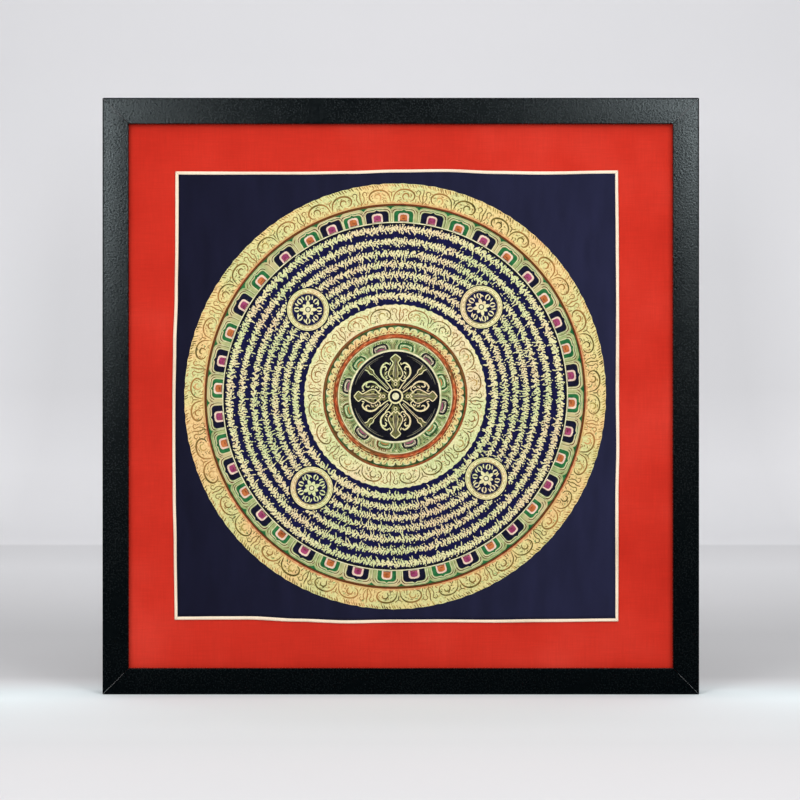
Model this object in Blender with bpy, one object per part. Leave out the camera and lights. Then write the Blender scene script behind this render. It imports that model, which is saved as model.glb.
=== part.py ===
"""Framed mandala thangka: a painted cotton panel on a red cloth mount, in a black wooden frame.

The frame stands on its bottom rail, with its face towards -Y. The origin is under the
middle of the frame, on the surface that it stands on. All sizes are in metres.
"""
import math
from collections import namedtuple

import bmesh
import bpy
from mathutils import Matrix

# Frame
FRAME_WIDTH = 0.548
FRAME_HEIGHT = 0.548
FRAME_DEPTH = 0.032
FACE_WIDTH = 0.024        # front face of the moulding
LIP_THICKNESS = 0.005     # wood in front of the rebate
REBATE_OVERLAP = 0.006    # how far the lip reaches over the cloth
OUTER_ROUND = 0.0028      # radius of the outer front edge
INNER_BEVEL = 0.0012      # bevel at the sight edge
CROWN_RISE = 0.0005       # how far the face stands out in its middle
BACK_BEVEL = 0.0008
PIECE_GAP = 0.0003        # between pieces that touch

# Depths behind the front of the frame
EDGING_DEPTH = 0.0034
CANVAS_DEPTH = 0.0038
MOUNT_CLOTH_DEPTH = 0.0053
BOARD_DEPTH = 0.0068

# Cloth and board
EDGING_THICKNESS = 0.0016
CANVAS_THICKNESS = 0.0012
MOUNT_CLOTH_THICKNESS = 0.0012
BOARD_THICKNESS = 0.003
REBATE_CLEARANCE = 0.001  # between the cloth's edge and the rebate wall
EDGING_WIDTH = 0.003
BOARD_BEVEL = 0.0004

# Painted panel, measured over its cream edging, and where it sits on the red cloth
PANEL_WIDTH = 0.4096
PANEL_HEIGHT = 0.4148
PANEL_SHIFT_X = -0.0042
PANEL_SHIFT_Z = -0.0002

# How far each edge of the panel bows out past a straight line, in millimetres.
# "along" runs from -1 to 1: left to right on the top and bottom, bottom to top on the sides.
BowRow = namedtuple("BowRow", "along left right top bottom")
BOW_TABLE = (
    BowRow(-1.00, -0.9, -0.5, -0.5, -1.8),
    BowRow(-0.67, -0.1, -0.3, -0.7, -2.0),
    BowRow(-0.45, 0.8, -0.3, -0.8, -0.1),
    BowRow(-0.22, 1.1, 0.5, -0.1, 1.5),
    BowRow(0.00, 1.1, 0.2, 1.2, 0.8),
    BowRow(0.22, 0.5, 0.3, 1.6, 0.5),
    BowRow(0.45, -1.0, 0.2, 0.0, 0.8),
    BowRow(0.67, -1.5, 0.0, -0.6, 0.3),
    BowRow(1.00, -1.6, -0.7, 0.4, -0.4),
)

# Slow waves of the cloth, which lifts it towards the front between flat places
WaveRow = namedtuple("WaveRow", "across_x across_z phase share")
WAVE_TABLE = (
    WaveRow(0.230, 0.410, 0.4, 0.40),
    WaveRow(-0.170, 0.260, 2.1, 0.35),
    WaveRow(0.520, -0.120, 4.0, 0.25),
)
WAVE_RISE = 0.0006        # highest lift
WAVE_FADE = 0.045         # the lift fades out over this distance inside the frame

CLOTH_STEPS = 20          # squares along each side of a cloth sheet
ROUND_STEPS = 5           # facets of the frame's rounded edge
CROWN_STEPS = 4

# Colours (red, green, blue), roughness
FINISHES = {
    "black_wood": ((0.010, 0.014, 0.016), 0.38),
    "red_cloth": ((0.62, 0.037, 0.020), 0.85),
    "navy_canvas": ((0.014, 0.014, 0.036), 0.75),
    "cream_cloth": ((0.93, 0.85, 0.66), 0.80),
    "brown_board": ((0.34, 0.22, 0.12), 0.90),
}

FRONT_Y = -FRAME_DEPTH / 2
CENTRE_Z = FRAME_HEIGHT / 2
SIGHT_WIDTH = FRAME_WIDTH - 2 * FACE_WIDTH
SIGHT_HEIGHT = FRAME_HEIGHT - 2 * FACE_WIDTH


def clear_scene():
    for old_object in list(bpy.data.objects):
        bpy.data.objects.remove(old_object, do_unlink=True)


def make_finish(name):
    colour, roughness = FINISHES[name]
    material = bpy.data.materials.new(name)
    material.use_nodes = True
    shader = material.node_tree.nodes["Principled BSDF"]
    shader.inputs["Base Color"].default_value = (*colour, 1.0)
    shader.inputs["Roughness"].default_value = roughness
    shader.inputs["Metallic"].default_value = 0.0
    return material


def add_object(name, bm, finish):
    bmesh.ops.recalc_face_normals(bm, faces=bm.faces)
    mesh = bpy.data.meshes.new(name)
    bm.to_mesh(mesh)
    bm.free()
    mesh.materials.append(make_finish(finish))
    part = bpy.data.objects.new(name, mesh)
    bpy.context.collection.objects.link(part)
    return part


# Wooden moulding
def moulding_profile():
    """Section of a rail as (distance in from the outer edge, depth behind the front)."""
    profile = []
    for step in range(ROUND_STEPS + 1):
        angle = math.pi / 2 * step / ROUND_STEPS
        inward = OUTER_ROUND * (1 - math.cos(angle))
        depth = CROWN_RISE + OUTER_ROUND * (1 - math.sin(angle))
        profile.append((inward, depth))
    face_end = FACE_WIDTH - INNER_BEVEL
    for step in range(1, CROWN_STEPS):
        share = step / CROWN_STEPS
        inward = OUTER_ROUND + (face_end - OUTER_ROUND) * share
        profile.append((inward, CROWN_RISE * (1 - math.sin(math.pi * share))))
    rebate_wall = FACE_WIDTH - REBATE_OVERLAP
    profile += [
        (face_end, CROWN_RISE),
        (FACE_WIDTH, CROWN_RISE + INNER_BEVEL),
        (FACE_WIDTH, LIP_THICKNESS),
        (rebate_wall, LIP_THICKNESS),
        (rebate_wall, FRAME_DEPTH - BACK_BEVEL),
        (rebate_wall - BACK_BEVEL, FRAME_DEPTH),
        (BACK_BEVEL, FRAME_DEPTH),
        (0.0, FRAME_DEPTH - BACK_BEVEL),
    ]
    return profile


def make_rail(name, length, reach, quarter_turns):
    """Rail with mitred ends, modelled as the bottom rail and turned about the frame's centre."""
    mitre_gap = PIECE_GAP / math.sqrt(2)
    bm = bmesh.new()
    ends = []
    for side in (-1, 1):
        ring = []
        for inward, depth in moulding_profile():
            along = side * (length / 2 - inward - mitre_gap)
            ring.append(bm.verts.new((along, FRONT_Y + depth, inward - reach)))
        ends.append(ring)
    count = len(ends[0])
    for index in range(count):
        following = (index + 1) % count
        bm.faces.new((ends[0][index], ends[0][following], ends[1][following], ends[1][index]))
    for ring in ends:
        bm.faces.new(ring)
    rail = add_object(name, bm, "black_wood")
    rail.rotation_euler = (0.0, -quarter_turns * math.pi / 2, 0.0)
    rail.location = (0.0, 0.0, CENTRE_Z)
    rail.data.set_sharp_from_angle(angle=math.radians(35))
    return rail


def make_frame():
    make_rail("rail_bottom", FRAME_WIDTH, FRAME_HEIGHT / 2, 0)
    make_rail("stile_right", FRAME_HEIGHT, FRAME_WIDTH / 2, 1)
    make_rail("rail_top", FRAME_WIDTH, FRAME_HEIGHT / 2, 2)
    make_rail("stile_left", FRAME_HEIGHT, FRAME_WIDTH / 2, 3)


# Cloth
def cloth_lift(x, z):
    """How far the cloth lifts towards the front at a point, z measured from the frame's centre."""
    inside = min(SIGHT_WIDTH / 2 - abs(x), SIGHT_HEIGHT / 2 - abs(z))
    fade = min(max(inside / WAVE_FADE, 0.0), 1.0)
    fade = fade * fade * (3 - 2 * fade)
    height = 0.5
    for wave in WAVE_TABLE:
        turn = 2 * math.pi * (x / wave.across_x + z / wave.across_z)
        height += wave.share * math.sin(turn + wave.phase) / 2
    return WAVE_RISE * fade * height


def bow(side, along):
    """Outward bow of one edge of the panel, eased between the rows of the table."""
    for low, high in zip(BOW_TABLE, BOW_TABLE[1:]):
        if along <= high.along:
            break
    share = min(max((along - low.along) / (high.along - low.along), 0.0), 1.0)
    share = share * share * (3 - 2 * share)
    start = getattr(low, side)
    return (start + (getattr(high, side) - start) * share) / 1000


def panel_point(across, up, inset):
    """Point of the bowed panel, across and up running from -1 to 1, drawn in by inset."""
    half_width = PANEL_WIDTH / 2 - inset
    half_height = PANEL_HEIGHT / 2 - inset
    left = -half_width - bow("left", up)
    right = half_width + bow("right", up)
    bottom = -half_height - bow("bottom", across)
    top = half_height + bow("top", across)
    x = left + (right - left) * (across + 1) / 2
    z = bottom + (top - bottom) * (up + 1) / 2
    return x + PANEL_SHIFT_X, z + PANEL_SHIFT_Z


def make_sheet(name, columns, rows, point_at, depth, thickness, finish):
    """Closed sheet over a grid of points, its front at the given depth, following the lift."""
    bm = bmesh.new()
    layers = []
    for layer_depth in (depth, depth + thickness):
        grid = []
        for row in range(rows + 1):
            line = []
            for column in range(columns + 1):
                x, z = point_at(2 * column / columns - 1, 2 * row / rows - 1)
                y = FRONT_Y + layer_depth - cloth_lift(x, z)
                line.append(bm.verts.new((x, y, CENTRE_Z + z)))
            grid.append(line)
        layers.append(grid)
    front, back = layers
    for row in range(rows):
        for column in range(columns):
            for grid in layers:
                bm.faces.new((
                    grid[row][column], grid[row][column + 1],
                    grid[row + 1][column + 1], grid[row + 1][column],
                ))
    rim = [(0, column) for column in range(columns)]
    rim += [(row, columns) for row in range(rows)]
    rim += [(rows, column) for column in range(columns, 0, -1)]
    rim += [(row, 0) for row in range(rows, 0, -1)]
    for (row, column), (next_row, next_column) in zip(rim, rim[1:] + rim[:1]):
        bm.faces.new((
            front[row][column], front[next_row][next_column],
            back[next_row][next_column], back[row][column],
        ))
    return add_object(name, bm, finish)


def make_mount_cloth():
    half_width = SIGHT_WIDTH / 2 + REBATE_OVERLAP - REBATE_CLEARANCE
    half_height = SIGHT_HEIGHT / 2 + REBATE_OVERLAP - REBATE_CLEARANCE

    def point_at(across, up):
        return across * half_width, up * half_height

    make_sheet("mount_cloth_red", CLOTH_STEPS, CLOTH_STEPS, point_at,
               MOUNT_CLOTH_DEPTH, MOUNT_CLOTH_THICKNESS, "red_cloth")


def make_canvas():
    def point_at(across, up):
        return panel_point(across, up, EDGING_WIDTH + PIECE_GAP)

    make_sheet("painted_canvas", CLOTH_STEPS, CLOTH_STEPS, point_at,
               CANVAS_DEPTH, CANVAS_THICKNESS, "navy_canvas")


def make_edging(side, across_at, up_at):
    """Narrow folded strip along one side; its mitred ends stop short of its neighbours."""
    mitre_gap = PIECE_GAP / math.sqrt(2)
    upright = side in ("left", "right")

    def point_at(along, inward):
        inset = EDGING_WIDTH * (inward + 1) / 2
        x, z = panel_point(across_at(along), up_at(along), inset)
        if upright:
            return x, z - along * mitre_gap
        return x - along * mitre_gap, z

    make_sheet("edging_" + side, CLOTH_STEPS, 1, point_at,
               EDGING_DEPTH, EDGING_THICKNESS, "cream_cloth")


def make_edgings():
    make_edging("left", lambda along: -1.0, lambda along: along)
    make_edging("right", lambda along: 1.0, lambda along: along)
    make_edging("bottom", lambda along: along, lambda along: -1.0)
    make_edging("top", lambda along: along, lambda along: 1.0)


# Backing
def make_board():
    width = SIGHT_WIDTH + 2 * (REBATE_OVERLAP - REBATE_CLEARANCE)
    height = SIGHT_HEIGHT + 2 * (REBATE_OVERLAP - REBATE_CLEARANCE)
    bm = bmesh.new()
    size = Matrix.Diagonal((width, BOARD_THICKNESS, height, 1.0))
    bmesh.ops.create_cube(bm, size=1.0, matrix=size)
    bmesh.ops.bevel(bm, geom=bm.edges[:], offset=BOARD_BEVEL, segments=1, affect="EDGES")
    board = add_object("backing_board", bm, "brown_board")
    board.location = (0.0, FRONT_Y + BOARD_DEPTH + BOARD_THICKNESS / 2, CENTRE_Z)


clear_scene()
make_frame()
make_mount_cloth()
make_canvas()
make_edgings()
make_board()
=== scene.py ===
import math
import random

import bpy
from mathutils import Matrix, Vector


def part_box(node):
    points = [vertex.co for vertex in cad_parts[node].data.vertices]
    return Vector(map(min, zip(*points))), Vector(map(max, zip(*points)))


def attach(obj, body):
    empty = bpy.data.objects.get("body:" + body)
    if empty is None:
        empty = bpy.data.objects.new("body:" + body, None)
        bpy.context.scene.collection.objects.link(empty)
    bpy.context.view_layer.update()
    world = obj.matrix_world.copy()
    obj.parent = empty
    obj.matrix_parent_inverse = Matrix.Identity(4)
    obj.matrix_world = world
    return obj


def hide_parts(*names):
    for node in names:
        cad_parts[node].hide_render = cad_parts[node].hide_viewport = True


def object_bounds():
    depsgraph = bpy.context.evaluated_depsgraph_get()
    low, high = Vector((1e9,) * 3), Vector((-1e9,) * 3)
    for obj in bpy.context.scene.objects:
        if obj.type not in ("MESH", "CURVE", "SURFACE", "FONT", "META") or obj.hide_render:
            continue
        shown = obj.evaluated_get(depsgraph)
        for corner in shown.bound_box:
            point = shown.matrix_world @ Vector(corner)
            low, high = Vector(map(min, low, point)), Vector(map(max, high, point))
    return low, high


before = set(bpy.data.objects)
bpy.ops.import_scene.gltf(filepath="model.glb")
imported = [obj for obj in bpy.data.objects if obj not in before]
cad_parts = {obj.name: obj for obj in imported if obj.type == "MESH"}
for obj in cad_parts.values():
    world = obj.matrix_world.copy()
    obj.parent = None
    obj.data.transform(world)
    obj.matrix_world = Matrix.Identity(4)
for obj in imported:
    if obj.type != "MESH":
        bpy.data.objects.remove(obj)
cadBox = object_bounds()
print("frame loaded:", len(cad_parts), "nodes")

mm = 0.001
fullTurn = 2 * math.pi

# places taken from the loaded frame, in metres
lowCorner, highCorner = cadBox
frontY = lowCorner[1]
midZ = (lowCorner[2] + highCorner[2]) / 2
halfFrame = (highCorner[0] - lowCorner[0]) / 2
frameDepth = highCorner[1] - lowCorner[1]
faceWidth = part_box("rail_bottom")[1][2]
halfSight = halfFrame - faceWidth


# colours are given as the eye sees them, 0 to 255
def tone(red, green, blue):
    linear = []
    for value in (red, green, blue):
        share = value / 255
        linear.append(share / 12.92 if share <= 0.04045 else ((share + 0.055) / 1.055) ** 2.4)
    return (*linear, 1.0)


# material helpers
def startMaterial(name):
    material = bpy.data.materials.new(name)
    material.use_nodes = True
    return material, material.node_tree, material.node_tree.nodes["Principled BSDF"]


def addNode(tree, kind, sockets=None, **settings):
    node = tree.nodes.new(kind)
    for key, value in settings.items():
        setattr(node, key, value)
    for key, value in (sockets or {}).items():
        node.inputs[key].default_value = value
    return node


# a plain value is set, another node's output is linked
def feed(tree, socket, value):
    if isinstance(value, (int, float, tuple)):
        socket.default_value = value
    else:
        tree.links.new(value, socket)


def objectPlace(tree):
    return addNode(tree, "ShaderNodeTexCoord").outputs["Object"]


def addNoise(tree, place, scale, detail=3.0, rough=0.55):
    noise = addNode(tree, "ShaderNodeTexNoise", {"Scale": scale, "Detail": detail, "Roughness": rough})
    tree.links.new(place, noise.inputs["Vector"])
    return noise.outputs["Fac"]


def addRamp(tree, source, stops):
    ramp = addNode(tree, "ShaderNodeValToRGB")
    elements = ramp.color_ramp.elements
    while len(elements) < len(stops):
        elements.new(0.5)
    for element, (spot, colour) in zip(elements, stops):
        element.position = spot
        element.color = colour
    tree.links.new(source, ramp.inputs["Fac"])
    return ramp.outputs["Color"]


def addRange(tree, source, low, high, fromLow=0.3, fromHigh=0.7):
    sockets = {"From Min": fromLow, "From Max": fromHigh, "To Min": low, "To Max": high}
    node = addNode(tree, "ShaderNodeMapRange", sockets)
    tree.links.new(source, node.inputs["Value"])
    return node.outputs["Result"]


def addMath(tree, operation, first, second=None):
    node = addNode(tree, "ShaderNodeMath", operation=operation)
    feed(tree, node.inputs[0], first)
    if second is not None:
        feed(tree, node.inputs[1], second)
    return node.outputs["Value"]


def multiply(tree, first, second):
    return addMath(tree, "MULTIPLY", first, second)


def addMix(tree, share, first, second, blend="MIX"):
    node = addNode(tree, "ShaderNodeMix", data_type="RGBA", blend_type=blend)
    for index, value in ((0, share), (6, first), (7, second)):
        feed(tree, node.inputs[index], value)
    return node.outputs[2]


def shadeBy(tree, colour, shade, share=1.0):
    return addMix(tree, share, colour, shade, "MULTIPLY")


def splitPlace(tree, place):
    split = addNode(tree, "ShaderNodeSeparateXYZ")
    tree.links.new(place, split.inputs["Vector"])
    return split.outputs


def finishMaterial(tree, shader, colour, roughness, normal=None, specular=0.5):
    feed(tree, shader.inputs["Base Color"], colour)
    feed(tree, shader.inputs["Roughness"], roughness)
    feed(tree, shader.inputs["Specular IOR Level"], specular)
    if normal is not None:
        feed(tree, shader.inputs["Normal"], normal)


def addBump(tree, height, strength, distance, after=None):
    node = addNode(tree, "ShaderNodeBump", {"Strength": strength, "Distance": distance})
    tree.links.new(height, node.inputs["Height"])
    if after is not None:
        tree.links.new(after, node.inputs["Normal"])
    return node.outputs["Normal"]


# threads crossing over and under, running along x and z
def addWeave(tree, place, pitch):
    split = splitPlace(tree, place)
    across = addMath(tree, "SINE", multiply(tree, split["X"], math.pi / pitch))
    up = addMath(tree, "SINE", multiply(tree, split["Z"], math.pi / pitch))
    return addMath(tree, "MULTIPLY_ADD", multiply(tree, across, up), 0.5)


def addStretched(tree, place, stretch, scale):
    mapping = addNode(tree, "ShaderNodeMapping", {"Scale": stretch})
    tree.links.new(place, mapping.inputs["Vector"])
    return addNoise(tree, mapping.outputs["Vector"], scale, 2.0)


# cloth: thread pitch in metres, colours from shaded to light
redCloth = {
    "shaded": tone(177, 36, 23),
    "middle": tone(188, 43, 29),
    "light": tone(199, 54, 40),
    "pitch": 0.00042,
    "roughness": 0.9,
}
creamCloth = {
    "shaded": tone(210, 190, 163),
    "middle": tone(230, 211, 186),
    "light": tone(240, 223, 201),
    "pitch": 0.0003,
    "roughness": 0.82,
}
clothFinish = {
    "patches": 11.0,
    "slub": 900.0,
    "slubThin": 0.06,    # slubs are long along the thread and thin across it
    "slubRise": 0.00012,
    "weaveRise": 0.35,    # share of the thread pitch
    "specular": 0.1,
    "sheen": 0.05,
    "sheenRoughness": 0.5,
}


def makeClothMaterial(name, look):
    finish = clothFinish
    material, tree, shader = startMaterial(name)
    place = objectPlace(tree)
    patches = addNoise(tree, place, finish["patches"], 3.0)
    stops = [(0.25, look["shaded"]), (0.5, look["middle"]), (0.75, look["light"])]
    colour = addRamp(tree, patches, stops)
    acrossSlub = addStretched(tree, place, (finish["slubThin"], 1.0, 1.0), finish["slub"])
    upSlub = addStretched(tree, place, (1.0, 1.0, finish["slubThin"]), finish["slub"])
    slub = multiply(tree, acrossSlub, upSlub)
    slubTone = addRange(tree, slub, 0.93, 1.05, 0.12, 0.42)
    weave = addWeave(tree, place, look["pitch"])
    # painted shade: the cloth is darker in the valleys between the crossing threads
    paintedWeaveShade = addRange(tree, weave, 0.95, 1.02, -0.5, 0.5)
    colour = shadeBy(tree, colour, multiply(tree, slubTone, paintedWeaveShade))
    shader.inputs["Sheen Weight"].default_value = finish["sheen"]
    shader.inputs["Sheen Roughness"].default_value = finish["sheenRoughness"]
    normal = addBump(tree, weave, 0.35, look["pitch"] * finish["weaveRise"])
    normal = addBump(tree, slub, 0.3, finish["slubRise"], normal)
    finishMaterial(tree, shader, colour, look["roughness"], normal, finish["specular"])
    return material


# dark blue ground: thin matt colour brushed over sized cotton, a little lighter to the right, partly the
# paint's own tone and partly painted light
navyGround = {
    "left": tone(18, 18, 38),
    "right": tone(30, 31, 56),
    "halfWidth": 0.2,
    "brushed": 70.0,
    "grain": 1400.0,
    "pitch": 0.0005,
    "specular": 0.12,
}


def makeNavyMaterial():
    look = navyGround
    material, tree, shader = startMaterial("navyGround")
    place = objectPlace(tree)
    acrossPlace = splitPlace(tree, place)["X"]
    # partly painted light: the ground is mixed lighter towards the right
    across = addRange(tree, acrossPlace, 0.0, 1.0, -look["halfWidth"], look["halfWidth"])
    colour = addMix(tree, across, look["left"], look["right"])
    brushed = addStretched(tree, place, (1.0, 1.0, 0.25), look["brushed"])
    colour = shadeBy(tree, colour, addRange(tree, brushed, 0.86, 1.14))
    grain = addNoise(tree, place, look["grain"], 2.0)
    rough = addRange(tree, grain, 0.62, 0.78)
    weave = addWeave(tree, place, look["pitch"])
    normal = addBump(tree, weave, 0.2, 0.00008)
    normal = addBump(tree, grain, 0.2, 0.00006, normal)
    finishMaterial(tree, shader, colour, rough, normal, look["specular"])
    return material


# gold paint: leafy pale gold with warm and greenish clouds
goldPaint = {
    "warm": tone(226, 186, 124),
    "middle": tone(218, 199, 130),
    "cool": tone(202, 200, 134),
    "bright": tone(234, 222, 164),
    "dull": 0.68,
    "metallic": 0.12,
}
leafGold = {
    "warm": tone(220, 198, 152),
    "middle": tone(220, 212, 156),
    "cool": tone(200, 206, 144),
    "bright": tone(240, 236, 196),
    "dull": 0.7,
    "metallic": 0.08,
}
goldTexture = {"clouds": 26.0, "specks": 560.0, "speckRise": 0.00012}


def makeGoldMaterial(name, look):
    material, tree, shader = startMaterial(name)
    place = objectPlace(tree)
    clouds = addNoise(tree, place, goldTexture["clouds"], 3.0)
    stops = [(0.38, look["warm"]), (0.5, look["middle"]), (0.6, look["cool"])]
    colour = addRamp(tree, clouds, stops)
    specks = addNoise(tree, place, goldTexture["specks"], 3.0)
    colour = addMix(tree, addRange(tree, specks, 0.0, 0.5, 0.48, 0.72), colour, look["bright"])
    colour = shadeBy(tree, colour, addRange(tree, specks, look["dull"], 1.03, 0.28, 0.5))
    shader.inputs["Metallic"].default_value = look["metallic"]
    rough = addRange(tree, specks, 0.36, 0.56)
    normal = addBump(tree, specks, 0.3, goldTexture["speckRise"])
    finishMaterial(tree, shader, colour, rough, normal)
    return material


# the other paints, mottled by the brush; some drift to a third tone along the rings
paints = {
    "scrollLines": {"dark": tone(62, 54, 20), "light": tone(120, 102, 46), "drift": tone(156, 112, 58)},
    "scrollLight": {"dark": tone(138, 118, 56), "light": tone(178, 156, 84), "drift": tone(196, 146, 92)},
    "innerBlue": {"dark": tone(8, 8, 42), "light": tone(18, 18, 66)},
    "midnight": {"dark": tone(10, 10, 26), "light": tone(20, 20, 48)},
    "inkBlack": {"dark": tone(8, 8, 14), "light": tone(20, 19, 30)},
    "slate": {"dark": tone(88, 86, 74), "light": tone(128, 124, 104)},
    "leafGreen": {"dark": tone(16, 76, 40), "light": tone(44, 112, 62)},
    "deepGreen": {"dark": tone(20, 52, 24), "light": tone(44, 84, 44), "drift": tone(92, 58, 26)},
    "sageGreen": {"dark": tone(84, 130, 80), "light": tone(128, 166, 104)},
    "paleGreen": {"dark": tone(128, 143, 90), "light": tone(168, 178, 120), "drift": tone(188, 174, 126)},
    "magenta": {"dark": tone(114, 36, 72), "light": tone(166, 72, 112)},
    "orange": {"dark": tone(146, 76, 34), "light": tone(198, 116, 66)},
    "vermilion": {"dark": tone(160, 62, 32), "light": tone(194, 92, 50), "drift": tone(128, 76, 38)},
    "oxide": {"dark": tone(84, 24, 10), "light": tone(126, 48, 22), "drift": tone(92, 44, 16)},
    "apricot": {"dark": tone(176, 120, 76), "light": tone(220, 160, 108), "drift": tone(200, 164, 104)},
    "rust": {"dark": tone(104, 50, 24), "light": tone(154, 86, 46), "drift": tone(100, 72, 36)},
    "blush": {"dark": tone(196, 168, 150), "light": tone(228, 204, 182)},
    "creamLines": {"dark": tone(186, 182, 142), "light": tone(232, 226, 188)},
    "olive": {"dark": tone(74, 74, 40), "light": tone(124, 122, 74)},
    "umber": {"dark": tone(70, 36, 18), "light": tone(112, 64, 32)},
}
brushwork = {
    "mottle": 260.0,
    "drift": 34.0,
    "grain": 1300.0,
    "roughness": 0.62,
    "specular": 0.12,
}


def makePaintMaterial(name):
    look = paints[name]
    material, tree, shader = startMaterial(name)
    place = objectPlace(tree)
    mottle = addNoise(tree, place, brushwork["mottle"], 3.0)
    colour = addRamp(tree, mottle, [(0.3, look["dark"]), (0.7, look["light"])])
    if "drift" in look:
        drift = addNoise(tree, place, brushwork["drift"], 2.0)
        colour = addMix(tree, addRange(tree, drift, 0.0, 1.0, 0.46, 0.62), colour, look["drift"])
    normal = addBump(tree, addNoise(tree, place, brushwork["grain"], 2.0), 0.25, 0.00008)
    finishMaterial(tree, shader, colour, brushwork["roughness"], normal, brushwork["specular"])
    return material


# black lacquer over wood: a pebbled satin coat
lacquer = {
    "deep": tone(1, 4, 6),
    "worn": tone(5, 10, 12),
    "pebble": 620.0,
    "pebbleRise": 0.00012,
    "grain": 1500.0,
    "grainRise": 0.00006,
    "patches": 30.0,
    "specular": 0.45,
}


def makeLacquerMaterial():
    material, tree, shader = startMaterial("blackLacquer")
    place = objectPlace(tree)
    pebble = addNoise(tree, place, lacquer["pebble"], 2.0, 0.5)
    grain = addNoise(tree, place, lacquer["grain"], 2.0, 0.6)
    patches = addNoise(tree, place, lacquer["patches"], 2.0)
    colour = addRamp(tree, pebble, [(0.35, lacquer["deep"]), (0.72, lacquer["worn"])])
    satin = addRange(tree, pebble, 0.15, 0.27, 0.38, 0.62)
    rough = addMath(tree, "ADD", addRange(tree, patches, 0.0, 0.04), satin)
    normal = addBump(tree, pebble, 1.0, lacquer["pebbleRise"])
    normal = addBump(tree, grain, 0.3, lacquer["grainRise"], normal)
    finishMaterial(tree, shader, colour, rough, normal, lacquer["specular"])
    return material


# backing board: pressed brown fibre
board = {
    "dark": tone(134, 99, 65),
    "light": tone(166, 127, 86),
    "upFibres": 420.0,
    "crossFibres": 380.0,
    "clouds": 16.0,
    "roughness": 0.82,
}


def makeBoardMaterial():
    material, tree, shader = startMaterial("pressedBoard")
    place = objectPlace(tree)
    fibres = addStretched(tree, place, (1.0, 1.0, 0.2), board["upFibres"])
    crossing = addStretched(tree, place, (0.2, 1.0, 1.0), board["crossFibres"])
    mixed = multiply(tree, fibres, crossing)
    clouds = addNoise(tree, place, board["clouds"], 3.0)
    colour = addRamp(tree, mixed, [(0.12, board["dark"]), (0.38, board["light"])])
    colour = shadeBy(tree, colour, addRange(tree, clouds, 0.85, 1.1))
    finishMaterial(tree, shader, colour, board["roughness"], addBump(tree, mixed, 0.4, 0.0002))
    return material


# cloth surface: slow waves as in the solids, and finer ripples over them
clothForm = {
    "waves": [(0.230, 0.410, 0.4, 0.40), (-0.170, 0.260, 2.1, 0.35), (0.520, -0.120, 4.0, 0.25)],
    "rise": 0.0006,
    "ripples": [(0.061, 0.140, 1.1), (-0.048, 0.083, 3.0), (0.110, -0.052, 5.2)],
    "rippleRise": 0.00004,
    "fade": 0.045,
}


def clothLift(x, z):
    inside = halfSight - max(abs(x), abs(z))
    fade = min(max(inside / clothForm["fade"], 0.0), 1.0)
    fade = fade * fade * (3 - 2 * fade)
    height = 0.5
    for across, up, phase, share in clothForm["waves"]:
        height += share * math.sin(fullTurn * (x / across + z / up) + phase) / 2
    ripple = 0.0
    for across, up, phase in clothForm["ripples"]:
        ripple += math.sin(fullTurn * (x / across + z / up) + phase)
    return fade * (clothForm["rise"] * height + clothForm["rippleRise"] * ripple)


# the painted panel's outline, as in the solids: size over its edging, in metres
panel = {
    "width": 0.4096,
    "height": 0.4148,
    "shiftX": -0.0042,
    "shiftZ": -0.0002,
    # place along the side from -1 to 1, then how far each edge bows out, in mm
    "bows": [
        {"along": -1.00, "left": -0.9, "right": -0.5, "top": -0.5, "bottom": -1.8},
        {"along": -0.67, "left": -0.1, "right": -0.3, "top": -0.7, "bottom": -2.0},
        {"along": -0.45, "left": 0.8, "right": -0.3, "top": -0.8, "bottom": -0.1},
        {"along": -0.22, "left": 1.1, "right": 0.5, "top": -0.1, "bottom": 1.5},
        {"along": 0.00, "left": 1.1, "right": 0.2, "top": 1.2, "bottom": 0.8},
        {"along": 0.22, "left": 0.5, "right": 0.3, "top": 1.6, "bottom": 0.5},
        {"along": 0.45, "left": -1.0, "right": 0.2, "top": 0.0, "bottom": 0.8},
        {"along": 0.67, "left": -1.5, "right": 0.0, "top": -0.6, "bottom": 0.3},
        {"along": 1.00, "left": -1.6, "right": -0.7, "top": 0.4, "bottom": -0.4},
    ],
}


def bow(side, along):
    for start, end in zip(panel["bows"], panel["bows"][1:]):
        if along <= end["along"]:
            break
    share = (along - start["along"]) / (end["along"] - start["along"])
    share = min(max(share, 0.0), 1.0)
    share = share * share * (3 - 2 * share)
    return (start[side] + (end[side] - start[side]) * share) * mm


# across and up run from -1 to 1, inset draws the outline in
def panelPoint(across, up, inset):
    halfWide = panel["width"] / 2 - inset
    halfHigh = panel["height"] / 2 - inset
    left = -halfWide - bow("left", up)
    right = halfWide + bow("right", up)
    bottom = -halfHigh - bow("bottom", across)
    top = halfHigh + bow("top", across)
    x = left + (right - left) * (across + 1) / 2
    z = bottom + (top - bottom) * (up + 1) / 2
    return x + panel["shiftX"], z + panel["shiftZ"]


def addPiece(name, points, faces, material, smooth=True):
    mesh = bpy.data.meshes.new(name)
    mesh.from_pydata(points, [], faces)
    mesh.validate()
    mesh.materials.append(material)
    if smooth:
        mesh.shade_smooth()
    piece = bpy.data.objects.new(name, mesh)
    bpy.context.collection.objects.link(piece)
    return piece


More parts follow.
